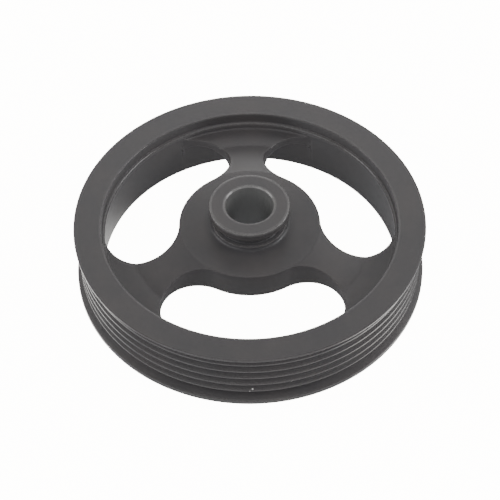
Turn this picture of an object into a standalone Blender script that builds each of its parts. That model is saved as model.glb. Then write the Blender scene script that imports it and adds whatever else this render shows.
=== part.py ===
"""Six-groove belt pulley, cast and turned in one piece, lying flat on the back of its rim.

Metres, +Z up. The axis is Z, the origin is on the axis in the plane of the rim's back edge,
and one spoke points along +Y.
"""

import math

import bmesh
import bpy
from mathutils import Matrix

# Rim, measured on the finished casting
RIM_RADIUS = 0.0625
RIM_TOP_BREAK = 0.0003
RIM_BOTTOM_BREAK = 0.0006
FACE_WIDTH = 0.0098
FACE_INNER_RADIUS = RIM_RADIUS - FACE_WIDTH

# Belt grooves
GROOVE_COUNT = 6
GROOVE_PITCH = 0.00356
GROOVE_ANGLE = math.radians(40.0)
GROOVE_BOTTOM_WIDTH = 0.0007
RIB_TIP_WIDTH = 0.0006
RIB_RECESS = 0.0015
TOP_FLANGE_HEIGHT = 0.0007
BOTTOM_FLANGE_HEIGHT = 0.00195
FLARE_HEIGHT = RIB_RECESS * math.tan(GROOVE_ANGLE / 2)
GROOVE_BAND = GROOVE_COUNT * GROOVE_PITCH - RIB_TIP_WIDTH + 2 * FLARE_HEIGHT
RIM_HEIGHT = TOP_FLANGE_HEIGHT + GROOVE_BAND + BOTTOM_FLANGE_HEIGHT

# Inner side of the rim: a turned recess, a rounded nose, and a drafted wall to the back
FACE_EDGE_BREAK = 0.0003
RECESS_DEPTH = 0.0040
RECESS_CORNER_ROUND = 0.0005
NOSE_STEP = 0.0012
NOSE_RADIUS = FACE_INNER_RADIUS - NOSE_STEP
NOSE_ROUND = 0.0008
WALL_DRAFT = math.radians(4.4)
BACK_EDGE_BREAK = 0.0004

# Web, dished from the hub's edge down to a flat floor along the rim
HUB_RADIUS = 0.0251
HUB_EDGE_DEPTH = 0.0012
HUB_TOP_SLOPE = math.radians(4.0)
FLOOR_DEPTH = 0.0065
FLOOR_WIDTH = 0.0088
DISH_FOOT_RADIUS = NOSE_RADIUS - FLOOR_WIDTH
DISH_FOOT_ROUND = 0.0040
FLOOR_FILLET = 0.0008
WEB_THICKNESS_AT_HUB = 0.0102
WEB_THICKNESS_AT_RIM = 0.0030
BACK_FILLET = 0.0030

# Boss with the puller groove under its flange
BOSS_RADIUS = 0.0143
BOSS_RISE = 0.00865
BOSS_EDGE_BREAK = 0.0004
PULLER_FLANGE_HEIGHT = 0.0032
PULLER_GROOVE_DEPTH = 0.0029
PULLER_GROOVE_WIDTH = 0.0044
SHOULDER_STEP = 0.0010
SHOULDER_RADIUS = BOSS_RADIUS - SHOULDER_STEP
SHOULDER_FOOT_FILLET = 0.0015
BORE_RADIUS = 0.0085
BORE_CHAMFER = 0.0005
BACK_BOSS_RADIUS = 0.0140
BACK_BOSS_CLEARANCE = 0.0035
BACK_BOSS_FILLET = 0.0020

# Kidney windows between the spokes, their round ends touching the hub's edge and the nose circle
SPOKE_COUNT = 3
END_RADIUS = (NOSE_RADIUS - HUB_RADIUS) / 2
SPOKE_WAIST = 0.0126
END_ARC_STOP = math.radians(30.0)

# How far the web is let into the rim before the two are joined
WEB_LET_IN = 0.0025

# Fineness of the turned shapes and of the outlines
TURN_STEPS = 72
ROUND_STEPS = 3
ARC_STEP = math.radians(5.0)
SHARP_ANGLE = math.radians(32.0)
WELD_DISTANCE = 0.000001


def clear_scene():
    for item in list(bpy.data.objects):
        bpy.data.objects.remove(item, do_unlink=True)


def new_collection(name, hidden=False):
    group = bpy.data.collections.new(name)
    bpy.context.scene.collection.children.link(group)
    group.hide_render = hidden
    return group


def coating():
    """Satin charcoal coating, the one finish of the whole casting."""
    material = bpy.data.materials.new("charcoal_coating")
    material.use_nodes = True
    shader = material.node_tree.nodes["Principled BSDF"]
    shader.inputs["Base Color"].default_value = (0.060, 0.058, 0.058, 1.0)
    shader.inputs["Roughness"].default_value = 0.45
    shader.inputs["Metallic"].default_value = 0.0
    return material


def arc(center, radius, start, stop, steps):
    """Points of an arc from start to stop, both ends included."""
    points = []
    for index in range(steps + 1):
        angle = start + (stop - start) * index / steps
        points.append((center[0] + radius * math.cos(angle), center[1] + radius * math.sin(angle)))
    return points


def fillet(before, corner, after, radius, steps=ROUND_STEPS):
    """Arc of the given radius that rounds the corner between two straight runs."""
    ax, ay = before[0] - corner[0], before[1] - corner[1]
    bx, by = after[0] - corner[0], after[1] - corner[1]
    length_a = math.hypot(ax, ay)
    length_b = math.hypot(bx, by)
    ax, ay, bx, by = ax / length_a, ay / length_a, bx / length_b, by / length_b
    opening = math.acos(max(-1.0, min(1.0, ax * bx + ay * by)))
    reach = min(radius / math.tan(opening / 2), 0.49 * length_a, 0.49 * length_b)
    radius = reach * math.tan(opening / 2)
    middle = math.hypot(ax + bx, ay + by)
    distance = radius / math.sin(opening / 2)
    cx = corner[0] + (ax + bx) / middle * distance
    cy = corner[1] + (ay + by) / middle * distance
    start = math.atan2(corner[1] + ay * reach - cy, corner[0] + ax * reach - cx)
    sweep = math.atan2(corner[1] + by * reach - cy, corner[0] + bx * reach - cx) - start
    sweep = (sweep + math.pi) % (2 * math.pi) - math.pi
    return arc((cx, cy), radius, start, start + sweep, steps)


def belt_surface():
    """Outer side of the rim, top to bottom: thin flange, grooves and ribs, tall flange."""
    rib_radius = RIM_RADIUS - RIB_RECESS
    half_opening = (GROOVE_PITCH - RIB_TIP_WIDTH) / 2
    depth = (half_opening - GROOVE_BOTTOM_WIDTH / 2) / math.tan(GROOVE_ANGLE / 2)
    first = RIM_HEIGHT - TOP_FLANGE_HEIGHT - FLARE_HEIGHT - half_opening
    points = [(RIM_RADIUS - RIM_TOP_BREAK, RIM_HEIGHT), (RIM_RADIUS, RIM_HEIGHT - RIM_TOP_BREAK)]
    points.append((RIM_RADIUS, RIM_HEIGHT - TOP_FLANGE_HEIGHT))
    for index in range(GROOVE_COUNT):
        middle = first - index * GROOVE_PITCH
        if index > 0:
            points.append((rib_radius, middle + half_opening))
        points.append((rib_radius - depth, middle + GROOVE_BOTTOM_WIDTH / 2))
        points.append((rib_radius - depth, middle - GROOVE_BOTTOM_WIDTH / 2))
        if index < GROOVE_COUNT - 1:
            points.append((rib_radius, middle - half_opening))
    points.append((RIM_RADIUS, BOTTOM_FLANGE_HEIGHT))
    points.append((RIM_RADIUS, RIM_BOTTOM_BREAK))
    points.append((RIM_RADIUS - RIM_BOTTOM_BREAK, 0.0))
    return points


def wall_radius(height):
    """Radius of the rim's drafted inner wall at a height below the nose."""
    nose_height = RIM_HEIGHT - RECESS_DEPTH - NOSE_ROUND
    return NOSE_RADIUS + (nose_height - height) * math.tan(WALL_DRAFT)


def inner_side():
    """Inner side of the rim from its back edge up: wall, nose, recess and the face's edge."""
    floor = RIM_HEIGHT - RECESS_DEPTH
    points = [(wall_radius(0.0) + BACK_EDGE_BREAK, 0.0), (wall_radius(BACK_EDGE_BREAK), BACK_EDGE_BREAK)]
    nose_center = (NOSE_RADIUS + NOSE_ROUND, floor - NOSE_ROUND)
    points += arc(nose_center, NOSE_ROUND, math.pi, math.pi / 2, ROUND_STEPS)
    face_edge = (FACE_INNER_RADIUS, RIM_HEIGHT - FACE_EDGE_BREAK)
    corner = (FACE_INNER_RADIUS, floor)
    points += fillet(points[-1], corner, face_edge, RECESS_CORNER_ROUND, 2)
    points += [face_edge, (FACE_INNER_RADIUS + FACE_EDGE_BREAK, RIM_HEIGHT)]
    return points


def web_back_height(radius):
    """Height of the web's back, which rises a little from the hub out to the rim."""
    at_hub = RIM_HEIGHT - HUB_EDGE_DEPTH - WEB_THICKNESS_AT_HUB
    at_rim = RIM_HEIGHT - FLOOR_DEPTH - WEB_THICKNESS_AT_RIM
    return at_hub + (at_rim - at_hub) * (radius - HUB_RADIUS) / (NOSE_RADIUS - HUB_RADIUS)


def web_back():
    """Back of the web and hub, from inside the rim in to the bore."""
    outer_corner = (wall_radius(web_back_height(NOSE_RADIUS)), web_back_height(NOSE_RADIUS))
    below = (wall_radius(0.0), 0.0)
    boss_corner = (BACK_BOSS_RADIUS, web_back_height(BACK_BOSS_RADIUS))
    boss_face = BACK_BOSS_CLEARANCE
    root = fillet(below, outer_corner, boss_corner, BACK_FILLET)
    points = [(root[0][0] + WEB_LET_IN, root[0][1])] + root
    points += fillet(outer_corner, boss_corner, (BACK_BOSS_RADIUS, boss_face), BACK_BOSS_FILLET)
    points.append((BACK_BOSS_RADIUS, boss_face + BOSS_EDGE_BREAK))
    points.append((BACK_BOSS_RADIUS - BOSS_EDGE_BREAK, boss_face))
    points.append((BORE_RADIUS + BORE_CHAMFER, boss_face))
    points.append((BORE_RADIUS, boss_face + BORE_CHAMFER))
    return points


def boss_and_hub():
    """Bore mouth, flange, puller groove, shoulder and the hub's top out to its edge."""
    top = RIM_HEIGHT + BOSS_RISE
    groove_top = top - PULLER_FLANGE_HEIGHT
    groove_bottom = groove_top - PULLER_GROOVE_WIDTH
    edge = (HUB_RADIUS, RIM_HEIGHT - HUB_EDGE_DEPTH)
    foot = (SHOULDER_RADIUS, edge[1] + (HUB_RADIUS - SHOULDER_RADIUS) * math.tan(HUB_TOP_SLOPE))
    points = [(BORE_RADIUS, top - BORE_CHAMFER), (BORE_RADIUS + BORE_CHAMFER, top)]
    points += [(BOSS_RADIUS - BOSS_EDGE_BREAK, top), (BOSS_RADIUS, top - BOSS_EDGE_BREAK)]
    points += [(BOSS_RADIUS, groove_top), (BOSS_RADIUS - PULLER_GROOVE_DEPTH, groove_top)]
    points += [(BOSS_RADIUS - PULLER_GROOVE_DEPTH, groove_bottom), (SHOULDER_RADIUS, groove_bottom)]
    points += fillet((SHOULDER_RADIUS, groove_bottom), foot, edge, SHOULDER_FOOT_FILLET)
    points.append(edge)
    return points


def dish():
    """Dished front of the web, its flat floor and the fillet at the rim, let into the rim."""
    floor = RIM_HEIGHT - FLOOR_DEPTH
    hub_edge = (HUB_RADIUS, RIM_HEIGHT - HUB_EDGE_DEPTH)
    foot = (DISH_FOOT_RADIUS, floor)
    corner = (wall_radius(floor), floor)
    root = fillet(foot, corner, (corner[0], RIM_HEIGHT), FLOOR_FILLET)
    points = fillet(hub_edge, foot, corner, DISH_FOOT_ROUND) + root
    return points + [(root[-1][0] + WEB_LET_IN, root[-1][1])]


def turned(name, outline, group):
    """A closed outline of (radius, height) points, turned about Z."""
    mesh = bpy.data.meshes.new(name)
    edges = [(index, (index + 1) % len(outline)) for index in range(len(outline))]
    mesh.from_pydata([(radius, 0.0, height) for radius, height in outline], edges, [])
    shape = bpy.data.objects.new(name, mesh)
    group.objects.link(shape)
    screw = shape.modifiers.new("turn", "SCREW")
    screw.axis = "Z"
    screw.angle = 2 * math.pi
    screw.steps = TURN_STEPS
    screw.render_steps = TURN_STEPS
    screw.use_merge_vertices = True
    screw.merge_threshold = WELD_DISTANCE
    return shape


def window_outline():
    """Window between the spokes at 0 and 120 degrees: hub arc, round ends, open to the rim."""
    pitch = 2 * math.pi / SPOKE_COUNT
    center_radius = HUB_RADIUS + END_RADIUS
    offset = math.asin((SPOKE_WAIST / 2 + END_RADIUS) / center_radius)
    wall = wall_radius(web_back_height(NOSE_RADIUS))
    # One end, in a frame whose x runs out through the centre of the end arc
    steps = max(4, round((math.pi - END_ARC_STOP) / (2 * ARC_STEP)))
    end = arc((center_radius, 0.0), END_RADIUS, math.pi, END_ARC_STOP, steps)
    out = (math.sin(END_ARC_STOP), -math.cos(END_ARC_STOP))
    along = end[-1][0] * out[0] + end[-1][1] * out[1]
    reach = -along + math.sqrt(along ** 2 + wall ** 2 - end[-1][0] ** 2 - end[-1][1] ** 2)
    end.append((end[-1][0] + out[0] * reach, end[-1][1] + out[1] * reach))
    beyond = 1 + 2 * WEB_LET_IN / wall
    end.append((end[-1][0] * beyond, end[-1][1] * beyond))

    def placed(point, turn, flip):
        x, y = point[0], point[1] * flip
        return (x * math.cos(turn) - y * math.sin(turn), x * math.sin(turn) + y * math.cos(turn))

    far_end = [placed(point, pitch - offset, 1) for point in end]
    near_end = [placed(point, offset, -1) for point in end]
    outer = math.hypot(*end[-1])
    first = math.atan2(far_end[-1][1], far_end[-1][0])
    last = math.atan2(near_end[-1][1], near_end[-1][0])
    rim_steps = max(2, round((first - last) / ARC_STEP))
    hub_steps = max(2, round((pitch - 2 * offset) / ARC_STEP))
    rim_arc = arc((0.0, 0.0), outer, first, last, rim_steps)
    hub_arc = arc((0.0, 0.0), HUB_RADIUS, offset, pitch - offset, hub_steps)
    return hub_arc[:-1] + far_end[:-1] + rim_arc + near_end[-2:0:-1]


def window_cutter(group, number):
    """A flat outline extruded through the web, made a mesh and turned to its place."""
    curve = bpy.data.curves.new("window_outline", "CURVE")
    curve.dimensions = "2D"
    curve.fill_mode = "BOTH"
    curve.extrude = RIM_HEIGHT
    points = window_outline()
    spline = curve.splines.new("POLY")
    spline.points.add(len(points) - 1)
    for target, (x, y) in zip(spline.points, points):
        target.co = (x, y, 0.0, 1.0)
    spline.use_cyclic_u = True
    guide = bpy.data.objects.new("window_guide", curve)
    group.objects.link(guide)
    bpy.context.view_layer.update()
    evaluated = guide.evaluated_get(bpy.context.evaluated_depsgraph_get())
    mesh = bpy.data.meshes.new_from_object(evaluated)
    shape = bmesh.new()
    shape.from_mesh(mesh)
    bmesh.ops.remove_doubles(shape, verts=shape.verts, dist=WELD_DISTANCE)
    bmesh.ops.recalc_face_normals(shape, faces=shape.faces)
    shape.to_mesh(mesh)
    shape.free()
    bpy.data.objects.remove(guide, do_unlink=True)
    turn = math.pi / 2 + number * 2 * math.pi / SPOKE_COUNT
    mesh.transform(Matrix.Rotation(turn, 4, "Z"))
    cutter = bpy.data.objects.new(f"window_cutter_{number + 1}", mesh)
    group.objects.link(cutter)
    cutter.location.z = RIM_HEIGHT / 2
    cutter.hide_render = True
    cutter.display_type = "WIRE"
    return cutter


def combine(body, other, operation):
    boolean = body.modifiers.new(other.name, "BOOLEAN")
    boolean.operation = operation
    boolean.solver = "EXACT"
    boolean.object = other


def settle(body):
    """Keeps the finished shape as a plain mesh, smooth but for its real edges."""
    bpy.context.view_layer.update()
    evaluated = body.evaluated_get(bpy.context.evaluated_depsgraph_get())
    mesh = bpy.data.meshes.new_from_object(evaluated)
    mesh.name = body.name
    body.modifiers.clear()
    body.data = mesh
    mesh.shade_smooth()
    mesh.set_sharp_from_angle(angle=SHARP_ANGLE)


def main():
    clear_scene()
    parts = new_collection("ribbed_belt_pulley")
    helpers = new_collection("helpers", hidden=True)
    body = turned("pulley", web_back() + boss_and_hub() + dish(), parts)
    body.data.materials.append(coating())
    for number in range(SPOKE_COUNT):
        combine(body, window_cutter(helpers, number), "DIFFERENCE")
    rim = turned("rim", belt_surface() + inner_side(), helpers)
    rim.hide_render = True
    rim.display_type = "WIRE"
    combine(body, rim, "UNION")
    settle(body)


main()
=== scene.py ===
"""Ribbed belt pulley: the finished look of a one-piece casting, turned on its working faces and coated.

Metres, +Z up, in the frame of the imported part. The rim and the hub are sections turned about Z by
Geometry Nodes, the web is one spoke that nodes repeat about the axis, and a union makes them one.
"""

import math

import bmesh
import bpy
import numpy as np
from bpy.props import FloatProperty, FloatVectorProperty, IntProperty, PointerProperty
from bpy.types import Operator, Panel, PropertyGroup
from mathutils import Matrix, Vector
from mathutils.geometry import delaunay_2d_cdt


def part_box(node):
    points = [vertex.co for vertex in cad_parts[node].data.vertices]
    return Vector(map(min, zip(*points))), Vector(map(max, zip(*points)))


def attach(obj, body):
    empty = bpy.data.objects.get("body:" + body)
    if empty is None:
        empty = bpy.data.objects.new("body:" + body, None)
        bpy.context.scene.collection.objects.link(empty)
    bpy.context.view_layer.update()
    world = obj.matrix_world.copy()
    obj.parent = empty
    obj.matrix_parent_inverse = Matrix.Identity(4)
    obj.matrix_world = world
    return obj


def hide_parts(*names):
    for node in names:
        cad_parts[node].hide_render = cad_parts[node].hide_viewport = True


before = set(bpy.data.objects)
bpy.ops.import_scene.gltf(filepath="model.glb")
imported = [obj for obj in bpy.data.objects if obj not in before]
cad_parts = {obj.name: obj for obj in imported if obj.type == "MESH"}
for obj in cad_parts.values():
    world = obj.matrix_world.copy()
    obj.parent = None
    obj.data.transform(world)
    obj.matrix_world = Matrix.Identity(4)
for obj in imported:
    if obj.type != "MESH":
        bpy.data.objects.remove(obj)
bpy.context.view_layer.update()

bl_info = {
    "name": "Ribbed belt pulley",
    "version": (1, 0, 0),
    "blender": (4, 5, 0),
    "location": "3D View > Sidebar > Pulley",
    "description": "Builds a ribbed belt pulley with its coating and a soft studio stage",
    "category": "Object",
}

LOWEST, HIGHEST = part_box("pulley")
MM = 0.001
BOSS_RISE = 8.65 * MM
RIM_HEIGHT = HIGHEST.z - LOWEST.z - BOSS_RISE
WELD = 1e-6
SEAM_WELD = 5 * WELD
SUPPORT = 0.3 * MM
SMOOTH_ANGLE = math.radians(40.0)
ROUND_STEPS = 4
# Points and steps along the edge of a spoke, from the window's middle to its end inside the rim
HUB_STEPS = 20
END_STEPS = 40
RUN_POINTS = 7
BURIED_POINTS = 3
BURIED_END_STEPS = 24
# Rings of a spoke's wall: in each rounded edge, and at these shares of the wall's height
ROUND_RINGS = 5
WALL_SHARES = (0.1, 0.3, 0.5, 0.7, 0.9)
# Detail and roughness of the coating's noises, and the part of their range that is spread out
PATCH_NOISE = (5.0, 0.6)
GRAIN_NOISE = (3.0, 0.6)
MARK_NOISE = (4.0, 0.7)
PATCH_RANGE = (0.35, 0.7)
GRAIN_RANGE = (0.35, 0.65)
LEAST_RUBBED_AND_HIGHLIGHT = 0.25
# Places and sizes of the chips on the front of the ribs
CHIPS = (
    ((-0.98 * MM, -60.44 * MM, 6.26 * MM), 0.30 * MM),
    ((-1.98 * MM, -60.97 * MM, 5.83 * MM), 0.16 * MM),
    ((12.41 * MM, -59.72 * MM, 9.05 * MM), 0.16 * MM),
)
# Lit patches of the floor: place, reach, and share of the pool's brightness
POOLS = (
    ((-0.11, 0.0, 0.0), 0.08, 1.0),
    ((0.085, -0.060, 0.0), 0.05, 1.15),
)
POOL_CORE = 0.4
# Softboxes: name, the setting with their power, share of it, and place
SOFTBOXES = (
    ("key_softbox", "key", 1.0, (0.88, 0.0, 0.46)),
    ("side_softbox", "side", 1.0, (-0.88, 0.0, 0.46)),
    ("back_softbox", "back", 0.30, (0.0, 0.75, 0.65)),
    ("back_right_softbox", "back", 0.36, (0.58, 0.52, 0.62)),
    ("back_left_softbox", "back", 0.20, (-0.58, 0.52, 0.62)),
    ("low_softbox", "low", 1.0, (0.0, 0.98, 0.16)),
    ("front_left_softbox", "front", 0.67, (-0.62, -0.62, 0.48)),
    ("front_right_softbox", "front", 0.33, (0.62, -0.62, 0.48)),
    ("top_softbox", "top", 1.0, (0.0, 0.001, 1.0)),
)
FLOOR_SIZE = 6.0
FLOOR_GAP = 0.02 * MM


def length(name, description, millimetres):
    """A size in metres, shown in the scene's own unit."""
    return FloatProperty(
        name=name, description=description, default=millimetres * MM, min=0.0, precision=5,
        subtype="DISTANCE", unit="LENGTH",
    )


def slope(name, description, degrees):
    return FloatProperty(
        name=name, description=description, default=math.radians(degrees), subtype="ANGLE", unit="ROTATION"
    )


def share(name, description, value, highest=1.0):
    return FloatProperty(name=name, description=description, default=value, min=0.0, max=highest)


def tint(name, description, red, green, blue):
    return FloatVectorProperty(
        name=name, description=description, default=(red, green, blue), size=3, min=0.0, max=1.0,
        subtype="COLOR",
    )


class RimSizes(PropertyGroup):
    """Rim with its belt surface, face, recess and drafted inner wall."""

    radius: length("Radius", "Outer radius of the two flanges", HIGHEST.x / MM)
    height: length("Height", "From the back edge to the face", RIM_HEIGHT / MM)
    face_inner_radius: length("Face inner radius", "Where the face breaks into the recess", 52.7)
    recess_depth: length("Recess depth", "From the face down to the ledge of the nose", 4.0)
    nose_radius: length("Nose radius", "Smallest radius inside the rim", 51.5)
    nose_round: length("Nose rounding", "Rounding of the nose", 0.8)
    corner_round: length("Recess corner", "Rounding of the recess's inner corner", 0.3)
    edge_round: length("Edge break", "Rounding of the face's edges", 0.3)
    back_round: length("Back edge break", "Rounding of the back edges", 0.5)
    wall_draft: slope("Wall draft", "Draft of the inner wall, wider to the back", 4.4)
    groove_count: IntProperty(name="Grooves", description="Number of belt grooves", default=6, min=1)
    groove_pitch: length("Groove pitch", "Distance from rib to rib", 3.56)
    groove_angle: slope("Groove angle", "Angle between the sides of a groove", 40.0)
    groove_floor: length("Groove floor", "Width of a groove's floor", 0.7)
    rib_tip: length("Rib tip", "Width of a rib's tip", 0.6)
    rib_recess: length("Rib recess", "How far the ribs lie inside the flanges", 1.5)
    rib_round: length("Rib rounding", "Rounding of a rib's edges", 0.2)
    top_flange: length("Top flange", "Height of the flange at the face", 0.7)
    facets: IntProperty(name="Facets", description="Facets round the rim", default=240, min=24)


class WebSizes(PropertyGroup):
    """Dished web with its hub disc, spokes and kidney windows."""

    hub_radius: length("Hub radius", "Where the hub disc ends and the dish begins", 25.1)
    hub_edge_depth: length("Hub edge depth", "From the rim's face down to the hub's edge", 1.2)
    hub_slope: slope("Hub slope", "Rise of the hub disc towards the boss", 4.0)
    floor_depth: length("Floor depth", "From the rim's face down to the flat floor", 6.5)
    dish_foot: length("Dish foot", "Radius where the dish meets the flat floor", 42.7)
    foot_round: length("Foot rounding", "Radius between the dish and the floor", 4.0)
    floor_fillet: length("Floor fillet", "Fillet between the floor and the rim", 0.8)
    thickness: length("Thickness", "Thickness of the web at the hub's edge", 10.2)
    rim_thickness: length("Thickness at the rim", "Thickness of the web at the rim", 3.0)
    back_fillet: length("Back fillet", "Fillet between the web's back and the rim", 3.0)
    waist: length("Spoke waist", "Narrowest width of a spoke", 12.6)
    end_stop: slope("End arc stop", "Where a window's end arc turns straight", 30.0)
    edge_round: length("Window edge", "Rounding of the windows' edges", 0.45)
    spokes: IntProperty(name="Spokes", description="Number of spokes", default=3, min=2)
    inner_radius: length("Web inner radius", "Where the web takes over from the turned hub", 16.5)
    let_in: length("Let in", "How far the web reaches into the rim", 1.5)


class BossSizes(PropertyGroup):
    """Boss, puller groove, bore and back boss."""

    radius: length("Radius", "Radius of the boss's flange", 14.3)
    rise: length("Rise", "Boss end above the rim's face", BOSS_RISE / MM)
    edge_round: length("Edge break", "Rounding of the boss's edge", 0.45)
    flange: length("Flange height", "Height of the flange above the puller groove", 3.2)
    neck_radius: length("Neck radius", "Radius at the bottom of the puller groove", 11.4)
    groove_width: length("Puller groove", "Height of the puller groove", 4.4)
    shoulder_radius: length("Shoulder radius", "Radius of the shoulder under the groove", 13.3)
    foot_round: length("Foot fillet", "Fillet at the shoulder's foot", 2.2)
    bore_radius: length("Bore radius", "Radius of the through bore", 8.5)
    bore_chamfer: length("Bore chamfer", "Chamfer at both ends of the bore", 0.5)
    back_radius: length("Back boss radius", "Radius of the boss on the back", 14.0)
    back_clearance: length("Back boss clearance", "From the rim's back edge up to the back boss", 3.5)
    back_fillet: length("Back boss fillet", "Fillet at the back boss's root", 2.0)


class CoatingLook(PropertyGroup):
    """Satin charcoal coating over the casting."""

    base: tint("Coating", "Main colour of the coating", 0.056, 0.0535, 0.0550)
    warm: tint("Warm patches", "Colour of the coating's warmer, drier patches", 0.068, 0.0625, 0.0620)
    # Colour of rubbed edges, lighter also as painted highlights along the edges.
    rubbed_and_highlight: tint("Rubbed edges", "Colour where the coating is thin on an edge", 0.20, 0.195, 0.19)
    bare: tint("Chips", "Colour of the bare metal in a chip", 0.75, 0.73, 0.70)
    # Bore colour: a thinner coat, and lighter still as painted light inside the bore.
    lightened_bore: tint("Bore", "Colour of the thinly coated bore", 0.15, 0.15, 0.148)
    # Colour of the painted shade in concave corners, partly dust.
    crevice_dust_and_shade: tint("Crevices", "Colour of the coating where dust dulls a corner", 0.035, 0.035, 0.037)
    roughness: share("Roughness", "Mean roughness of the coating", 0.42)
    polish: share("Polish", "Roughness of a handled edge", 0.20)
    mottling: share("Mottling", "Change of roughness from patch to patch", 0.16)
    marking: share("Marking", "Change of roughness across the turning marks", 0.10)
    turning: length("Turning pitch", "Feed of the turning marks", 0.42)
    patches: share("Patches", "Fineness of the coating's patches", 60.0, 1000.0)
    grain: share("Grain", "Fineness of the coating's grain", 2600.0, 10000.0)
    relief: length("Relief", "Height of the marks and the grain", 0.04)
    relief_strength: share("Relief strength", "How much the marks and the grain show", 0.15)
    mark_relief: share("Mark relief", "Share of the turning marks in the relief", 0.6)
    grain_relief: share("Grain relief", "Share of the grain in the relief", 0.3)
    # Strength of the edge rubbing and of its painted highlights, by place.
    plain_wear_and_highlight: share("Wear", "Rubbing of the turned edges", 0.28, 2.0)
    boss_wear_and_highlight: share("Wear of the boss", "Rubbing of the edges at the boss's end", 0.75, 2.0)
    bore_wear_and_highlight: share("Wear of the bore", "Rubbing of the bore's chamfer", 1.6, 2.0)
    web_wear_and_highlight: share("Wear of the web", "Share of the wear on the cast web's edges", 0.2)
    # How strongly painted shade, with some dust, darkens concave corners, and the radii it is kept to.
    dust_and_shade: share("Dust", "How far dust dulls a corner", 0.7)
    dust_and_shade_inner: length("Dusty boss", "Dust stays round the boss out to here", 21.0)
    dust_and_shade_outer: length("Dusty rim", "Dust stays in the rim from here out", 55.0)


class StageLook(PropertyGroup):
    """Pale floor, soft lights and the camera."""

    floor: tint("Floor", "Colour of the floor", 0.85, 0.85, 0.86)
    pool_tint: tint("Pool colour", "Colour of the lit patches of the floor", 1.0, 0.98, 0.94)
    fill_tint: tint("Fill colour", "Colour of the even fill", 0.96, 0.97, 1.0)
    fill_spread: slope("Fill spread", "Angle across the even fill", 60.0)
    softbox_size: length("Softbox", "Width of a softbox", 500.0)
    glow: share("Glow", "Brightness of the lit background as the camera sees it", 14.0, 40.0)
    key: share("Key", "Power of the softbox on the right, in watts", 5.0, 200.0)
    side: share("Side light", "Power of the softbox on the left, in watts", 3.6, 200.0)
    back: share("Back light", "Power shared by the softboxes behind, in watts", 4.0, 200.0)
    low: share("Low light", "Power of the low softbox behind, in watts", 2.2, 200.0)
    front: share("Front light", "Power shared by the softboxes in front, in watts", 2.8, 200.0)
    top: share("Top light", "Power of the softbox overhead, in watts", 0.8, 200.0)
    fill: share("Fill", "Strength of the even fill from the camera's side", 1.50, 10.0)
    pool: share("Pool", "Brightness of the lit patches of the floor", 4.4, 20.0)


class PulleySettings(PropertyGroup):
    rim: PointerProperty(type=RimSizes)
    web: PointerProperty(type=WebSizes)
    boss: PointerProperty(type=BossSizes)
    coating: PointerProperty(type=CoatingLook)
    stage: PointerProperty(type=StageLook)


# Node trees


class Sketch:
    """A node tree under construction, with short calls for its nodes and links."""

    def __init__(self, tree):
        self.tree = tree

    def add(self, kind, *sources, **options):
        """A node with its inputs in order: a socket is linked, None is skipped, a value is set."""
        node = self.tree.nodes.new(kind)
        for key, value in options.items():
            setattr(node, key, value)
        for socket, source in zip(node.inputs, sources):
            if isinstance(source, bpy.types.NodeSocket):
                self.tree.links.new(source, socket)
            elif source is not None:
                socket.default_value = source
        return node

    def set(self, node, **values):
        """Inputs by name, with spaces for underscores."""
        for key, value in values.items():
            socket = node.inputs[key.replace("_", " ")]
            if isinstance(value, bpy.types.NodeSocket):
                self.tree.links.new(value, socket)
            else:
                socket.default_value = value
        return node

    def math(self, operation, first, second=None, third=None, clamp=False):
        node = self.add("ShaderNodeMath", first, second, third, operation=operation, use_clamp=clamp)
        return node.outputs[0]

    def mix(self, factor, first, second):
        """first + factor * (second - first), for numbers."""
        return self.math("MULTIPLY_ADD", factor, self.math("SUBTRACT", second, first), first)

    def blend(self, factor, first, second):
        """The same for colours. The first may be a socket, the second is a setting."""
        node = self.add("ShaderNodeMix", data_type="RGBA")
        self.tree.links.new(factor, node.inputs[0])
        if isinstance(first, bpy.types.NodeSocket):
            self.tree.links.new(first, node.inputs[6])
        else:
            node.inputs[6].default_value = (*first, 1.0)
        node.inputs[7].default_value = (*second, 1.0)
        return node.outputs[2]

    def noise(self, place, scale, detail, roughness):
        node = self.add("ShaderNodeTexNoise", place)
        return self.set(node, Scale=scale, Detail=detail, Roughness=roughness).outputs[0]

    def away_from(self, place, spot):
        node = self.add("ShaderNodeVectorMath", place, spot, operation="DISTANCE")
        return node.outputs["Value"]

    def between(self, value, low, high):
        above = self.math("GREATER_THAN", value, low)
        return self.math("MULTIPLY", above, self.math("LESS_THAN", value, high))


def nodes_tree(name, inputs):
    """A Geometry Nodes tree with named inputs, and a dict of its input sockets."""
    tree = bpy.data.node_groups.new(name, "GeometryNodeTree")
    tree.interface.new_socket("Geometry", in_out="OUTPUT", socket_type="NodeSocketGeometry")
    for label, kind in inputs:
        tree.interface.new_socket(label, in_out="INPUT", socket_type="NodeSocket" + kind)
    sketch = Sketch(tree)
    source = sketch.add("NodeGroupInput")
    return sketch, {label: source.outputs[label] for label, kind in inputs}


def close_tree(sketch, geometry, material):
    """Realize Instances and Set Material, then the group's output."""
    whole = sketch.add("GeometryNodeRealizeInstances", geometry).outputs[0]
    painted = sketch.add("GeometryNodeSetMaterial", whole, None, material).outputs[0]
    sketch.add("NodeGroupOutput", painted)
    return sketch.tree


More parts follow.
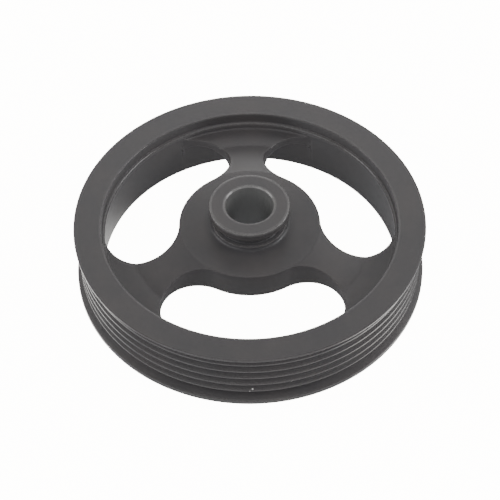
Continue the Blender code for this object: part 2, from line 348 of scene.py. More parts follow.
def turning_tree():
    """Turns a section about Z. A belt surface with V grooves is added where the section is open for it."""
    sketch, given = nodes_tree("turned_section", [
        ("Section", "Geometry"), ("Grooves", "Int"), ("Pitch", "Float"), ("Angle", "Float"),
        ("Floor", "Float"), ("Tip", "Float"), ("Rib radius", "Float"), ("First groove", "Float"),
        ("Rib round", "Float"), ("Facets", "Int"), ("Round steps", "Int"), ("Path radius", "Float"),
        ("Material", "Material"),
    ])
    # Four points a groove: rib edge, floor edge, floor edge, rib edge
    count = sketch.math("MULTIPLY", given["Grooves"], 4.0)
    line = sketch.add("GeometryNodeMeshLine", count, None, None, (0.0, 0.0, 0.0))
    index = sketch.add("GeometryNodeInputIndex").outputs[0]
    groove = sketch.math("FLOOR", sketch.math("MULTIPLY", index, 0.25))
    corner = sketch.math("SUBTRACT", index, sketch.math("MULTIPLY", groove, 4.0))
    from_middle = sketch.math("ABSOLUTE", sketch.math("SUBTRACT", corner, 1.5))
    on_floor = sketch.math("LESS_THAN", from_middle, 1.0)
    past_middle = sketch.math("GREATER_THAN", corner, 1.5)
    side = sketch.math("SUBTRACT", 1.0, sketch.math("MULTIPLY", past_middle, 2.0))
    half_floor = sketch.math("MULTIPLY", given["Floor"], 0.5)
    half_mouth = sketch.math("MULTIPLY", sketch.math("SUBTRACT", given["Pitch"], given["Tip"]), 0.5)
    flank = sketch.math("TANGENT", sketch.math("MULTIPLY", given["Angle"], 0.5))
    depth = sketch.math("DIVIDE", sketch.math("SUBTRACT", half_mouth, half_floor), flank)
    middle = sketch.math("SUBTRACT", given["First groove"], sketch.math("MULTIPLY", groove, given["Pitch"]))
    half_width = sketch.mix(on_floor, half_mouth, half_floor)
    height = sketch.math("MULTIPLY_ADD", side, half_width, middle)
    radius = sketch.math("SUBTRACT", given["Rib radius"], sketch.math("MULTIPLY", on_floor, depth))
    place = sketch.add("ShaderNodeCombineXYZ", radius, 0.0, height).outputs[0]
    grooves = sketch.add("GeometryNodeSetPosition", line.outputs[0], None, place).outputs[0]
    named = sketch.add("GeometryNodeStoreNamedAttribute", grooves, None, "round", given["Rib round"])
    both = sketch.add("GeometryNodeJoinGeometry")
    sketch.tree.links.new(named.outputs[0], both.inputs[0])
    sketch.tree.links.new(given["Section"], both.inputs[0])
    merge = sketch.add("GeometryNodeMergeByDistance", both.outputs[0])
    welded = sketch.set(merge, Distance=WELD).outputs[0]
    # The section lies in XZ; the profile of a round path wants its offset in X and its height in -Y
    here = sketch.add("ShaderNodeSeparateXYZ", sketch.add("GeometryNodeInputPosition").outputs[0])
    across = sketch.math("SUBTRACT", here.outputs["X"], given["Path radius"])
    down = sketch.math("MULTIPLY", here.outputs["Z"], -1.0)
    profile_place = sketch.add("ShaderNodeCombineXYZ", across, down, 0.0)
    flat = sketch.add("GeometryNodeSetPosition", welded, None, profile_place.outputs[0]).outputs[0]
    outline = sketch.add("GeometryNodeMeshToCurve", flat).outputs[0]
    rounding = sketch.add("GeometryNodeInputNamedAttribute", "round", data_type="FLOAT").outputs[0]
    rounded = sketch.add("GeometryNodeFilletCurve", outline, mode="POLY")
    sketch.set(rounded, Count=given["Round steps"], Radius=rounding, Limit_Radius=True)
    path = sketch.add("GeometryNodeCurvePrimitiveCircle", mode="RADIUS")
    sketch.set(path, Resolution=given["Facets"], Radius=given["Path radius"])
    turned = sketch.add("GeometryNodeCurveToMesh", path.outputs[0], rounded.outputs[0]).outputs[0]
    return close_tree(sketch, turned, given["Material"])


def repeat_tree():
    """Copies a piece round the Z axis and welds the copies where they meet."""
    sketch, given = nodes_tree("repeat_round_axis", [
        ("Piece", "Geometry"), ("Copies", "Int"), ("Weld", "Float"), ("Material", "Material"),
    ])
    spots = sketch.add("GeometryNodeMeshLine", given["Copies"], None, None, (0.0, 0.0, 0.0)).outputs[0]
    index = sketch.add("GeometryNodeInputIndex").outputs[0]
    turn = sketch.math("MULTIPLY", index, sketch.math("DIVIDE", 2 * math.pi, given["Copies"]))
    rotation = sketch.add("ShaderNodeCombineXYZ", 0.0, 0.0, turn).outputs[0]
    copies = sketch.add("GeometryNodeInstanceOnPoints", spots)
    sketch.set(copies, Instance=given["Piece"], Rotation=rotation)
    whole = sketch.add("GeometryNodeRealizeInstances", copies.outputs[0]).outputs[0]
    merge = sketch.add("GeometryNodeMergeByDistance", whole)
    welded = sketch.set(merge, Distance=given["Weld"]).outputs[0]
    return close_tree(sketch, welded, given["Material"])


def run_tree(name, mesh, tree, values):
    """Runs a tree on a mesh, with its inputs set by their identifiers, and returns the mesh it makes."""
    carrier = bpy.data.objects.new(name, mesh)
    bpy.context.scene.collection.objects.link(carrier)
    modifier = carrier.modifiers.new(tree.name, "NODES")
    modifier.node_group = tree
    for item in tree.interface.items_tree:
        if item.in_out == "INPUT" and item.name in values:
            modifier[item.identifier] = values[item.name]
    made = evaluated_mesh(carrier)
    bpy.data.objects.remove(carrier, do_unlink=True)
    return made


def evaluated_mesh(item):
    bpy.context.view_layer.update()
    return bpy.data.meshes.new_from_object(item.evaluated_get(bpy.context.evaluated_depsgraph_get()))


# Turned sections


def wall_radius(rim, height):
    """Radius of the rim's drafted inner wall at a height."""
    return rim.nose_radius + (rim.height - rim.recess_depth - height) * math.tan(rim.wall_draft)


def groove_start(rim):
    """Half the mouth of a groove, the flare up to a flange, and the middle of the first groove."""
    half_mouth = (rim.groove_pitch - rim.rib_tip) / 2
    flare = rim.rib_recess * math.tan(rim.groove_angle / 2)
    return half_mouth, flare, rim.height - rim.top_flange - flare - half_mouth


def rim_corners(rim):
    """The rim's section without its grooves, as (radius, height, rounding), from the last groove round."""
    half_mouth, flare, first = groove_start(rim)
    last = first - (rim.groove_count - 1) * rim.groove_pitch
    rib_radius = rim.radius - rim.rib_recess
    ledge = rim.height - rim.recess_depth
    recess_radius = rim.face_inner_radius - rim.edge_round / 2
    return [
        (rib_radius, last - half_mouth, 0.0),
        (rim.radius, last - half_mouth - flare, rim.rib_round),
        (rim.radius, 0.0, rim.back_round),
        (wall_radius(rim, 0.0), 0.0, rim.back_round),
        (rim.nose_radius, ledge, rim.nose_round),
        (recess_radius, ledge, rim.corner_round),
        (rim.face_inner_radius, rim.height, rim.edge_round),
        (rim.radius, rim.height, rim.edge_round),
        (rim.radius, first + half_mouth + flare, rim.rib_round),
        (rib_radius, first + half_mouth, 0.0),
    ]


def hub_corners(rim, web, boss):
    """Boss, bore and back boss, open at both ends where the web takes over."""
    end = rim.height + boss.rise
    under_flange = end - boss.flange
    shoulder = under_flange - boss.groove_width
    inner = web.inner_radius
    return [
        (inner, front_height(rim, web, inner), 0.0),
        (boss.shoulder_radius, front_height(rim, web, boss.shoulder_radius), boss.foot_round),
        (boss.shoulder_radius, shoulder, boss.edge_round),
        (boss.neck_radius, shoulder, boss.edge_round),
        (boss.neck_radius, under_flange, boss.edge_round),
        (boss.radius, under_flange, boss.edge_round / 2),
        (boss.radius, end, boss.edge_round),
        (boss.bore_radius + boss.bore_chamfer, end, boss.bore_chamfer / 3),
        (boss.bore_radius, end - boss.bore_chamfer, boss.bore_chamfer / 3),
        (boss.bore_radius, boss.back_clearance + boss.bore_chamfer, boss.bore_chamfer / 3),
        (boss.bore_radius + boss.bore_chamfer, boss.back_clearance, boss.bore_chamfer / 3),
        (boss.back_radius, boss.back_clearance, boss.edge_round),
        (boss.back_radius, back_height(rim, web, boss.back_radius), boss.back_fillet),
        (inner, back_height(rim, web, inner), 0.0),
    ]


def with_supports(corners):
    """The same section, with a point on each long run near its ends, so that worn edges stay narrow."""
    chain = [corners[0]]
    for start, stop in zip(corners, corners[1:]):
        run = np.array(stop[:2]) - start[:2]
        size = np.linalg.norm(run)
        near, far = 2 * start[2] + SUPPORT, 2 * stop[2] + SUPPORT
        if size > near + far + SUPPORT:
            chain.append((*(np.array(start[:2]) + run * near / size), 0.0))
            chain.append((*(np.array(stop[:2]) - run * far / size), 0.0))
        chain.append(stop)
    return chain


def section_mesh(name, corners):
    """Corners of a section as an open chain in the XZ plane, each with its rounding."""
    corners = with_supports(corners)
    mesh = bpy.data.meshes.new(name)
    edges = [(index, index + 1) for index in range(len(corners) - 1)]
    mesh.from_pydata([(radius, 0.0, height) for radius, height, rounding in corners], edges, [])
    rounding = mesh.attributes.new("round", "FLOAT", "POINT")
    rounding.data.foreach_set("value", [corner[2] for corner in corners])
    return mesh


def turn(name, corners, rim, tree, material, grooves=0):
    half_mouth, flare, first = groove_start(rim)
    return run_tree(name, section_mesh(name, corners), tree, {
        "Grooves": grooves,
        "Pitch": rim.groove_pitch,
        "Angle": rim.groove_angle,
        "Floor": rim.groove_floor,
        "Tip": rim.rib_tip,
        "Rib radius": rim.radius - rim.rib_recess,
        "First groove": first,
        "Rib round": rim.rib_round,
        "Facets": rim.facets,
        "Round steps": ROUND_STEPS,
        "Path radius": rim.radius,
        "Material": material,
    })


# Web


def floor_height(rim, web):
    """Height of the flat floor between the dish's foot and the rim."""
    return rim.height - web.floor_depth


def front_height(rim, web, radius):
    """Height of the web's front: gently sloped hub, dish, flat floor, then the fillet up to the rim."""
    edge = rim.height - web.hub_edge_depth
    floor = floor_height(rim, web)
    fall = math.atan((edge - floor) / (web.dish_foot - web.hub_radius))
    reach = web.foot_round * math.tan(fall / 2)
    start = wall_radius(rim, floor) - web.floor_fillet
    if radius <= web.hub_radius:
        return edge + (web.hub_radius - radius) * math.tan(web.hub_slope)
    if radius <= web.dish_foot - reach * math.cos(fall):
        return edge - (radius - web.hub_radius) * math.tan(fall)
    if radius <= web.dish_foot + reach:
        across = web.dish_foot + reach - radius
        return floor + web.foot_round - math.sqrt(web.foot_round ** 2 - across ** 2)
    if radius <= start:
        return floor
    across = min(radius - start, web.floor_fillet)
    return floor + web.floor_fillet - math.sqrt(web.floor_fillet ** 2 - across ** 2)


def back_height(rim, web, radius):
    """Height of the web's back, with the fillet down to the rim's wall."""
    at_hub = rim.height - web.hub_edge_depth - web.thickness
    at_rim = floor_height(rim, web) - web.rim_thickness

    def plain(at):
        return at_hub + (at_rim - at_hub) * (at - web.hub_radius) / (rim.nose_radius - web.hub_radius)

    wall = wall_radius(rim, plain(rim.nose_radius))
    start = wall - web.back_fillet
    if radius <= start:
        return plain(radius)
    across = min(radius, wall) - start
    return plain(radius) - web.back_fillet + math.sqrt(max(0.0, web.back_fillet ** 2 - across ** 2))


def arc(center, radius, start, stop, steps):
    """Points of an arc from start to stop, both ends included."""
    angles = np.linspace(start, stop, steps + 1)
    return np.stack([center[0] + radius * np.cos(angles), center[1] + radius * np.sin(angles)], axis=1)


def spoke_side(rim, web, outer):
    """One side of the spoke on +X, from the rim in to the middle of the window at +60 degrees."""
    end_radius = (rim.nose_radius - web.hub_radius) / 2
    center_radius = web.hub_radius + end_radius
    offset = math.asin((web.waist / 2 + end_radius) / center_radius)
    center = center_radius * np.array([math.cos(offset), math.sin(offset)])
    hub = arc((0.0, 0.0), web.hub_radius, math.pi / web.spokes, offset, HUB_STEPS)
    end = arc(center, end_radius, offset + math.pi, offset + 2 * math.pi - web.end_stop, END_STEPS)
    heading = offset + math.pi / 2 - web.end_stop
    out = np.array([math.cos(heading), math.sin(heading)])
    wall = wall_radius(rim, back_height(rim, web, rim.nose_radius - web.back_fillet))
    reach = -(end[-1] @ out) + math.sqrt((end[-1] @ out) ** 2 + wall ** 2 - end[-1] @ end[-1])
    run = end[-1] + out * np.linspace(0, reach, RUN_POINTS)[1:, None]
    buried = run[-1] / np.linalg.norm(run[-1]) * np.linspace(wall, outer, BURIED_POINTS)[1:, None]
    side = np.concatenate([hub, end[1:], run, buried])
    return side[::-1]


def spoke_outline(rim, web):
    """Edge of one spoke's sector: window, spoke side, buried end, spoke side, window."""
    outer = wall_radius(rim, 0.0) + web.let_in
    upper = spoke_side(rim, web, outer)
    lower = (upper * [1, -1])[::-1]
    start = math.atan2(lower[-1][1], lower[-1][0])
    buried = arc((0.0, 0.0), outer, start, -start, BURIED_END_STEPS)
    return np.concatenate([lower[:-1], buried, upper[1:]])


def inward_normals(path):
    """Unit normals to the left of an open path, scaled so that an offset keeps its distance."""
    step = np.diff(path, axis=0)
    step /= np.linalg.norm(step, axis=1)[:, None]
    left = np.stack([-step[:, 1], step[:, 0]], axis=1)
    before, after = np.concatenate([left[:1], left]), np.concatenate([left, left[-1:]])
    mean = before + after
    mean /= np.linalg.norm(mean, axis=1)[:, None]
    scale = 1 / np.clip((mean * after).sum(axis=1), 0.5, 1)
    mean *= scale[:, None]
    for end in (0, -1):
        mean[end] = -path[end] / np.linalg.norm(path[end])
    return mean


def ring_radii(rim, web, first, last):
    """Radii of the web's rings, close together where its section bends."""
    wall = wall_radius(rim, back_height(rim, web, rim.nose_radius - web.back_fillet))
    front_wall = wall_radius(rim, floor_height(rim, web))
    foot_reach = 0.8 * MM
    crease_reach = 0.4 * MM
    margin = 0.2 * MM
    marks = [web.inner_radius, web.hub_radius, web.dish_foot - foot_reach, web.dish_foot + foot_reach]
    marks += [wall - web.back_fillet, front_wall - web.floor_fillet, front_wall, last]
    steps = [7, 14, 5, 5, 4, 8, 2]
    radii = [np.linspace(a, b, n, endpoint=False) for a, b, n in zip(marks, marks[1:], steps)]
    crease = web.hub_radius + np.array([-crease_reach, crease_reach])
    radii = np.sort(np.concatenate(radii + [crease]))
    return radii[(radii > first + margin) & (radii < last - margin)]


def sector_plan(rim, web, edge):
    """Triangles of one sector in plan, inside its inset edge and outside the turned hub."""
    seam_points = 8
    seam_bow = 0.06 * MM
    margin = 0.35 * MM
    inside_only, tolerance = 1, 1e-9
    half = math.pi / web.spokes
    steps = round(rim.facets / web.spokes)
    inner = arc((0.0, 0.0), web.inner_radius, half, -half, steps)
    # The seam to the next sector is bowed a little, so that no three of its points are in line
    radial = np.linspace(web.inner_radius, np.linalg.norm(edge[0]), seam_points)[1:-1, None]
    bow = seam_bow * np.sin(np.linspace(0, math.pi, seam_points))[1:-1, None]

    def seam(angle):
        along = np.array([math.cos(angle), math.sin(angle)])
        left = np.array([-math.sin(angle), math.cos(angle)])
        return radial * along + bow * left

    low, high = seam(-half), seam(half)
    border = np.concatenate([edge, high[::-1], inner, low])
    grid = []
    angles = np.linspace(-half, half, steps + 1)[1:-1]
    for radius in ring_radii(rim, web, web.inner_radius, np.linalg.norm(edge, axis=1).max()):
        grid.append(arc((0.0, 0.0), radius, angles[0], angles[-1], steps - 2))
    grid = np.concatenate(grid)
    clearance = distance_to(grid, np.concatenate([border, border[:1]]))
    grid = grid[inside(grid, border) & (clearance > margin)]
    points = [Vector(point) for point in np.concatenate([border, grid])]
    loop = list(range(len(border)))
    found, edges, faces, *rest = delaunay_2d_cdt(points, [], [loop], inside_only, tolerance, False)
    found, faces = np.array(found), np.array([tuple(face) for face in faces])
    return found, faces[inside(found[faces].mean(axis=1), border)]


def inside(points, border):
    """Whether each point lies inside a closed border, by counting the crossings of a ray."""
    x, y = points[:, 0, None], points[:, 1, None]
    ax, ay = border[:, 0], border[:, 1]
    bx, by = np.roll(ax, -1), np.roll(ay, -1)
    spans = (ay > y) != (by > y)
    with np.errstate(divide="ignore", invalid="ignore"):
        crossing = ax + (y - ay) / (by - ay) * (bx - ax)
    return ((spans & (x < crossing)).sum(axis=1) % 2) == 1


def distance_to(points, path):
    """Distance of each point from a path of straight runs."""
    best = np.full(len(points), np.inf)
    for a, b in zip(path[:-1], path[1:]):
        run = b - a
        along = np.clip(((points - a) @ run) / max(run @ run, 1e-18), 0, 1)
        best = np.minimum(best, np.linalg.norm(points - (a + along[:, None] * run), axis=1))
    return best


def wall_rings(path, normals, rounds, top, bottom):
    """Rings of a spoke's wall from front to back, each with its places in plan and its heights."""
    rings = []
    low_rings = []
    for bend in np.linspace(0, math.pi / 2, ROUND_RINGS):
        places = path + normals * (rounds * (1 - math.sin(bend)))[:, None]
        drop = rounds * (1 - math.cos(bend))
        rings.append((places, top - drop))
        low_rings.insert(0, (places, bottom + drop))
    wall_top, wall_foot = rings[-1][1], low_rings[0][1]
    for part in WALL_SHARES:
        rings.append((path, wall_top * (1 - part) + wall_foot * part))
    return rings + low_rings


def spoke_mesh(rim, web):
    """One sector of the web: front and back faces, rounded window edges and walls."""
    path = spoke_outline(rim, web)
    normals = inward_normals(path)
    # The edges' rounding runs out where the spoke enters the rim
    wall = wall_radius(rim, back_height(rim, web, rim.nose_radius - web.back_fillet))
    rounds = web.edge_round * np.clip((wall - np.linalg.norm(path, axis=1)) / (wall - rim.nose_radius), 0, 1)
    inset = path + normals * rounds[:, None]
    found, faces = sector_plan(rim, web, inset)
    shape = bmesh.new()
    front = [shape.verts.new((x, y, front_height(rim, web, math.hypot(x, y)))) for x, y in found]
    back = [shape.verts.new((x, y, back_height(rim, web, math.hypot(x, y)))) for x, y in found]
    for face in faces:
        shape.faces.new([front[index] for index in face])
        shape.faces.new([back[index] for index in reversed(face)])
    top = np.array([front_height(rim, web, math.hypot(x, y)) for x, y in inset])
    bottom = np.array([back_height(rim, web, math.hypot(x, y)) for x, y in inset])
    rows = []
    for places, heights in wall_rings(path, normals, rounds, top, bottom):
        rows.append([shape.verts.new((x, y, z)) for (x, y), z in zip(places, heights)])
    for upper, lower in zip(rows, rows[1:]):
        for index in range(len(path) - 1):
            shape.faces.new([upper[index], lower[index], lower[index + 1], upper[index + 1]])
    bmesh.ops.remove_doubles(shape, verts=shape.verts, dist=WELD)
    bmesh.ops.rotate(shape, verts=shape.verts, matrix=Matrix.Rotation(math.pi / 2, 3, "Z"))
    mesh = bpy.data.meshes.new("spoke")
    shape.to_mesh(mesh)
    shape.free()
    return mesh


# Assembly


def weld(meshes, name):
    """One mesh from several, welded where they meet, with its faces pointing out."""
    shape = bmesh.new()
    for mesh in meshes:
        shape.from_mesh(mesh)
    bmesh.ops.remove_doubles(shape, verts=shape.verts, dist=SEAM_WELD)
    bmesh.ops.recalc_face_normals(shape, faces=shape.faces)
    loose = [edge for edge in shape.edges if len(edge.link_faces) != 2]
    if loose:
        raise RuntimeError(f"{name} is open at {len(loose)} edges")
    mesh = bpy.data.meshes.new(name)
    shape.to_mesh(mesh)
    shape.free()
    return mesh


def linked(name, mesh):
    item = bpy.data.objects.new(name, mesh)
    bpy.context.scene.collection.objects.link(item)
    return item


def vertex_vectors(mesh, name):
    values = np.empty(len(mesh.vertices) * 3, np.float32)
    mesh.vertices.foreach_get(name, values)
    return values.reshape(-1, 3).astype(float)


def store_edge_and_crevice_bends(mesh):
    """How sharply the surface bends at each vertex: outward for edges that are rubbed and given painted
    highlights, inward for crevices given painted shade and dust.
    """
    shortest = 1e-7
    places = vertex_vectors(mesh, "co")
    normals = vertex_vectors(mesh, "normal")
    edges = np.empty(len(mesh.edges) * 2, np.int32)
    mesh.edges.foreach_get("vertices", edges)
    first, second = edges.reshape(-1, 2).T
    run = places[second] - places[first]
    size = np.maximum(np.linalg.norm(run, axis=1), shortest)
    bend = ((normals[second] - normals[first]) * run).sum(axis=1) / size ** 2
    # Attribute, sign of its bends, and the bend per millimetre at which it is full
    for name, sign, full in (("wear_and_highlight", 1, 1.2), ("crevice_dust_and_shade", -1, 1.0)):
        sharpest = np.zeros(len(places))
        np.maximum.at(sharpest, first, sign * bend)
        np.maximum.at(sharpest, second, sign * bend)
        attribute = mesh.attributes.new(name, "FLOAT", "POINT")
        attribute.data.foreach_set("value", np.clip(sharpest * MM / full, 0, 1).astype(np.float32))


# Materials


def coating_material(settings):
    """Satin charcoal coating: soft mottling, turning marks, rubbed edges that also carry painted highlights,
    painted shade with some dust in the corners, and a few chips.
    """
    coating = settings.coating
    material = bpy.data.materials.new("charcoal_coating")
    material.use_nodes = True
    tree = material.node_tree
    sketch = Sketch(tree)
    shader = tree.nodes["Principled BSDF"]
    place = sketch.add("ShaderNodeTexCoord").outputs["Object"]
    split = sketch.add("ShaderNodeSeparateXYZ", place)
    height = split.outputs["Z"]
    flat = sketch.add("ShaderNodeCombineXYZ", split.outputs["X"], split.outputs["Y"], 0.0).outputs[0]
    radius = sketch.add("ShaderNodeVectorMath", flat, operation="LENGTH").outputs["Value"]
    patches = sketch.noise(place, coating.patches, *PATCH_NOISE)
    grain = sketch.noise(place, coating.grain, *GRAIN_NOISE)
    # Turning marks follow the radius on flat faces and the height on round ones
    feed = sketch.math("ADD", radius, height)
    marks_place = sketch.add("ShaderNodeCombineXYZ", feed, 0.0, 0.0).outputs[0]
    marks = sketch.noise(marks_place, 0.5 / coating.turning, *MARK_NOISE)
    wear_and_highlight = edge_wear_and_highlight(sketch, settings, radius)
    colour = plain_colour(sketch, settings, radius, patches)
    colour = worn_and_highlight_colour(sketch, settings, colour, wear_and_highlight, grain, radius, height)
    colour = chipped_colour(sketch, coating, colour, place)
    tree.links.new(colour, shader.inputs["Base Color"])
    mean = coating.roughness - coating.mottling / 2 - coating.marking / 2
    rough = sketch.math("MULTIPLY_ADD", patches, coating.mottling, mean)
    rough = sketch.math("MULTIPLY_ADD", marks, coating.marking, rough)
    tree.links.new(sketch.mix(wear_and_highlight, rough, coating.polish), shader.inputs["Roughness"])
    grain_height = sketch.math("MULTIPLY", grain, coating.grain_relief)
    relief = sketch.math("MULTIPLY_ADD", marks, coating.mark_relief, grain_height)
    bump = sketch.add("ShaderNodeBump")
    sketch.set(bump, Strength=coating.relief_strength, Distance=coating.relief, Height=relief)
    tree.links.new(bump.outputs[0], shader.inputs["Normal"])
    return material


def edge_wear_and_highlight(sketch, settings, radius):
    """How worn each edge is, which also sets its painted highlight. The cast web's edges get least."""
    web_start = settings.web.inner_radius + SUPPORT
    on_web = sketch.between(radius, web_start, settings.rim.nose_radius - SUPPORT)
    wear_and_highlight = sketch.add("ShaderNodeAttribute", attribute_name="wear_and_highlight").outputs["Fac"]
    return sketch.math("MULTIPLY", wear_and_highlight, sketch.mix(on_web, 1.0, settings.coating.web_wear_and_highlight))


def plain_colour(sketch, settings, radius, patches):
    """Patchy coating; the bore lighter, partly as a thinner coat and partly as painted light; painted shade
    with some dust in the corners round the boss and in the grooves.
    """
    coating = settings.coating
    margin = 0.2 * MM
    soft = sketch.add("ShaderNodeMapRange", patches, *PATCH_RANGE, 0.0, 1.0).outputs[0]
    colour = sketch.blend(soft, coating.base, coating.warm)
    # The bore is painted lighter: partly a thinner coat, partly painted light where little light reaches.
    in_bore = sketch.math("LESS_THAN", radius, settings.boss.bore_radius + margin)
    colour = sketch.blend(in_bore, colour, coating.lightened_bore)
    # Painted shade, with some dust, darkens the concave corners round the boss and in the rim's grooves.
    crevice_dust_and_shade = sketch.add("ShaderNodeAttribute", attribute_name="crevice_dust_and_shade").outputs["Fac"]
    near_boss = sketch.math("LESS_THAN", radius, coating.dust_and_shade_inner)
    on_rim = sketch.math("GREATER_THAN", radius, coating.dust_and_shade_outer)
    dusty_and_shaded = sketch.math("MULTIPLY", crevice_dust_and_shade, sketch.math("ADD", near_boss, on_rim))
    dulled_and_shaded = sketch.math("MULTIPLY", dusty_and_shaded, coating.dust_and_shade, clamp=True)
    return sketch.blend(dulled_and_shaded, colour, coating.crevice_dust_and_shade)


def worn_and_highlight_colour(sketch, settings, colour, wear_and_highlight, grain, radius, height):
    """Rubbed edges that also carry painted highlights, unevenly along their length, most at the boss's end
    and the bore's chamfer.
    """
    coating, boss = settings.coating, settings.boss
    chamfer_start = boss.bore_radius + 0.05 * MM
    boss_end = HIGHEST.z - 0.8 * boss.flange
    uneven = sketch.add("ShaderNodeMapRange", grain, *GRAIN_RANGE, LEAST_RUBBED_AND_HIGHLIGHT, 1.0).outputs[0]
    on_boss = sketch.math("GREATER_THAN", height, boss_end)
    on_chamfer = sketch.between(radius, chamfer_start, boss.bore_radius + boss.bore_chamfer)
    amount = sketch.mix(on_chamfer, coating.boss_wear_and_highlight, coating.bore_wear_and_highlight)
    amount = sketch.mix(on_boss, coating.plain_wear_and_highlight, amount)
    # Lighter edges: rubbed coating together with painted highlights.
    rubbed_and_highlight = sketch.math("MULTIPLY", sketch.math("MULTIPLY", wear_and_highlight, uneven), amount, clamp=True)
    return sketch.blend(rubbed_and_highlight, colour, coating.rubbed_and_highlight)


def chipped_colour(sketch, coating, colour, place):
    chipped = 0.0
    for spot, size in CHIPS:
        in_chip = sketch.math("LESS_THAN", sketch.away_from(place, spot), size)
        chipped = sketch.math("MAXIMUM", chipped, in_chip)
    return sketch.blend(chipped, colour, coating.bare)


def floor_material(stage):
    """Pale floor with two lit patches beside the pulley, plain white for the camera alone."""
    material = bpy.data.materials.new("pale_floor")
    material.use_nodes = True
    sketch = Sketch(material.node_tree)
    shader = material.node_tree.nodes["Principled BSDF"]
    shader.inputs["Base Color"].default_value = (*stage.floor, 1.0)
    shader.inputs["Roughness"].default_value = 0.9
    shader.inputs["Emission Color"].default_value = (*stage.pool_tint, 1.0)
    place = sketch.add("ShaderNodeTexCoord").outputs["Object"]
    light = 0.0
    for spot, reach, strength in POOLS:
        away = sketch.away_from(place, spot)
        patch = sketch.add("ShaderNodeMapRange", away, reach * POOL_CORE, reach, strength, 0.0)
        patch.interpolation_type = "SMOOTHSTEP"
        light = sketch.math("ADD", light, patch.outputs[0])
    seen = sketch.add("ShaderNodeLightPath").outputs["Is Camera Ray"]
    glow = sketch.mix(seen, sketch.math("MULTIPLY", light, stage.pool), stage.glow)
    material.node_tree.links.new(glow, shader.inputs["Emission Strength"])
    return material


# Operators


class PULLEY_OT_casting(Operator):
    """Turn the rim and hub, cast the web, and join them into the one finished piece"""

    bl_idname = "pulley.casting"
    bl_label = "Build the casting"

    def execute(self, context):
        settings = context.scene.pulley
        rim, web, boss = settings.rim, settings.web, settings.boss
        material = coating_material(settings)
        turning = turning_tree()
        rim_mesh = turn("rim", rim_corners(rim), rim, turning, material, rim.groove_count)
        hub_mesh = turn("hub", hub_corners(rim, web, boss), rim, turning, material)
        web_mesh = run_tree("web", spoke_mesh(rim, web), repeat_tree(), {
            "Copies": web.spokes, "Weld": SEAM_WELD, "Material": material,
        })
        center = linked("pulley_casting", weld([web_mesh, hub_mesh], "hub_and_web"))
        ring = linked("rim_ring", weld([rim_mesh], "rim_ring"))
        joint = center.modifiers.new("join_rim", "BOOLEAN")
        joint.operation = "UNION"
        joint.solver = "EXACT"
        joint.object = ring
        mesh = evaluated_mesh(center)
        center.modifiers.clear()
        bpy.data.objects.remove(ring, do_unlink=True)
        mesh.name = "pulley_casting"
        mesh.materials.clear()
        mesh.materials.append(material)
        center.data = mesh
        mesh.shade_smooth()
        mesh.set_sharp_from_angle(angle=SMOOTH_ANGLE)
        store_edge_and_crevice_bends(mesh)
        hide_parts("pulley")
        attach(center, "root")
        return {"FINISHED"}


class PULLEY_OT_stage(Operator):
    """Lay the pale floor, hang the softboxes and set the camera"""

    bl_idname = "pulley.stage"
    bl_label = "Build the stage"

    def execute(self, context):
        stage = context.scene.pulley.stage
        face = context.scene.pulley.rim.height
        add_floor(stage, LOWEST.z - FLOOR_GAP)
        add_world(stage)
        for name, setting, part, place in SOFTBOXES:
            power = getattr(stage, setting) * part
            add_softbox(name, power, stage.softbox_size, Vector(place), Vector((0.0, 0.0, face)))
        add_camera(context.scene, face)
        add_fill(stage, context.scene.camera)
        return {"FINISHED"}


def add_floor(stage, height):
    shape = bmesh.new()
    bmesh.ops.create_grid(shape, x_segments=1, y_segments=1, size=FLOOR_SIZE)
    mesh = bpy.data.meshes.new("floor")
    shape.to_mesh(mesh)
    shape.free()
    mesh.transform(Matrix.Translation((0.0, 0.0, height)))
    mesh.materials.append(floor_material(stage))
    linked("floor", mesh)


def add_world(stage):
    """White where the camera looks past the floor; the light comes from the softboxes."""
    world = bpy.data.worlds.new("studio")
    bpy.context.scene.world = world
    world.use_nodes = True
    sketch = Sketch(world.node_tree)
    background = world.node_tree.nodes["Background"]
    background.inputs["Color"].default_value = (1.0, 1.0, 1.0, 1.0)
    seen = sketch.add("ShaderNodeLightPath").outputs["Is Camera Ray"]
    world.node_tree.links.new(sketch.math("MULTIPLY", seen, stage.glow), background.inputs["Strength"])


def add_softbox(name, power, size, place, target):
    light = bpy.data.lights.new(name, "AREA")
    light.shape = "SQUARE"
    light.size = size
    light.energy = power
    item = bpy.data.objects.new(name, light)
    bpy.context.scene.collection.objects.link(item)
    item.location = place
    item.rotation_euler = (target - place).to_track_quat("-Z", "Y").to_euler()


def add_fill(stage, camera):
    """Wide, shadowless light from the camera's side, a little cool, that opens up the darkest parts."""
    light = bpy.data.lights.new("fill_light", "SUN")
    light.energy = stage.fill
    light.angle = stage.fill_spread
    light.color = stage.fill_tint
    light.use_shadow = False
    item = bpy.data.objects.new("fill_light", light)
    bpy.context.scene.collection.objects.link(item)
    item.rotation_euler = camera.matrix_world.to_euler()
    item.visible_glossy = False


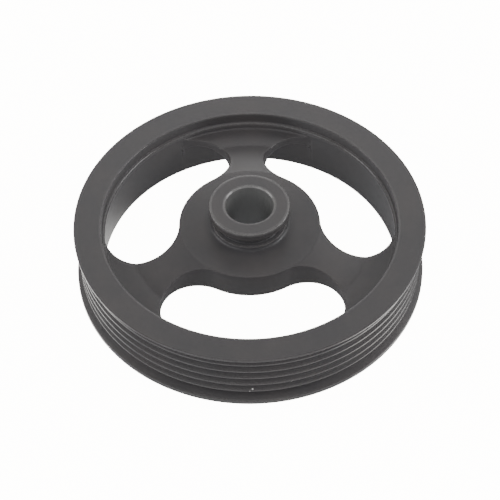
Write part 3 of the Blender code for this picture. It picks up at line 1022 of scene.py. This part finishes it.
def add_camera(scene, face):
    """The photograph's view: a long lens from the front, looking down at the pulley."""
    elevation = math.radians(49.66)
    roll = math.radians(-0.888)
    spin = math.radians(-1.05)
    distance = 0.7021
    target = Vector((-0.00002, -0.01356, face))
    back = Vector((0.0, -math.cos(elevation), math.sin(elevation)))
    level_right = Vector((1.0, 0.0, 0.0))
    level_up = Vector((0.0, math.sin(elevation), math.cos(elevation)))
    right = math.cos(roll) * level_right + math.sin(roll) * level_up
    up = math.cos(roll) * level_up - math.sin(roll) * level_right
    matrix = Matrix((right, up, back)).transposed().to_4x4()
    matrix.translation = target + distance * back
    camera = bpy.data.cameras.new("camera")
    camera.sensor_width = 36.0
    camera.lens = 144.43
    camera.clip_start = 0.01
    camera.clip_end = 50.0
    item = bpy.data.objects.new("camera", camera)
    scene.collection.objects.link(item)
    item.matrix_world = Matrix.Rotation(spin, 4, "Z") @ matrix
    scene.camera = item


class PULLEY_PT_settings(Panel):
    bl_idname = "PULLEY_PT_settings"
    bl_label = "Ribbed belt pulley"
    bl_space_type = "VIEW_3D"
    bl_region_type = "UI"
    bl_category = "Pulley"

    def draw(self, context):
        settings = context.scene.pulley
        for label, group in (
            ("Rim", settings.rim), ("Web", settings.web), ("Boss", settings.boss),
            ("Coating", settings.coating), ("Stage", settings.stage),
        ):
            box = self.layout.box()
            box.label(text=label)
            for name in type(group).__annotations__:
                box.prop(group, name)
        for operator in OPERATORS:
            self.layout.operator(operator.bl_idname)


OPERATORS = (PULLEY_OT_casting, PULLEY_OT_stage)
CLASSES = (
    RimSizes, WebSizes, BossSizes, CoatingLook, StageLook, PulleySettings, *OPERATORS, PULLEY_PT_settings,
)


def register():
    for item in CLASSES:
        bpy.utils.register_class(item)
    bpy.types.Scene.pulley = PointerProperty(type=PulleySettings)


def unregister():
    del bpy.types.Scene.pulley
    for item in reversed(CLASSES):
        bpy.utils.unregister_class(item)


def main():
    register()
    bpy.ops.pulley.casting()
    bpy.ops.pulley.stage()


if __name__ == "__main__":
    main()
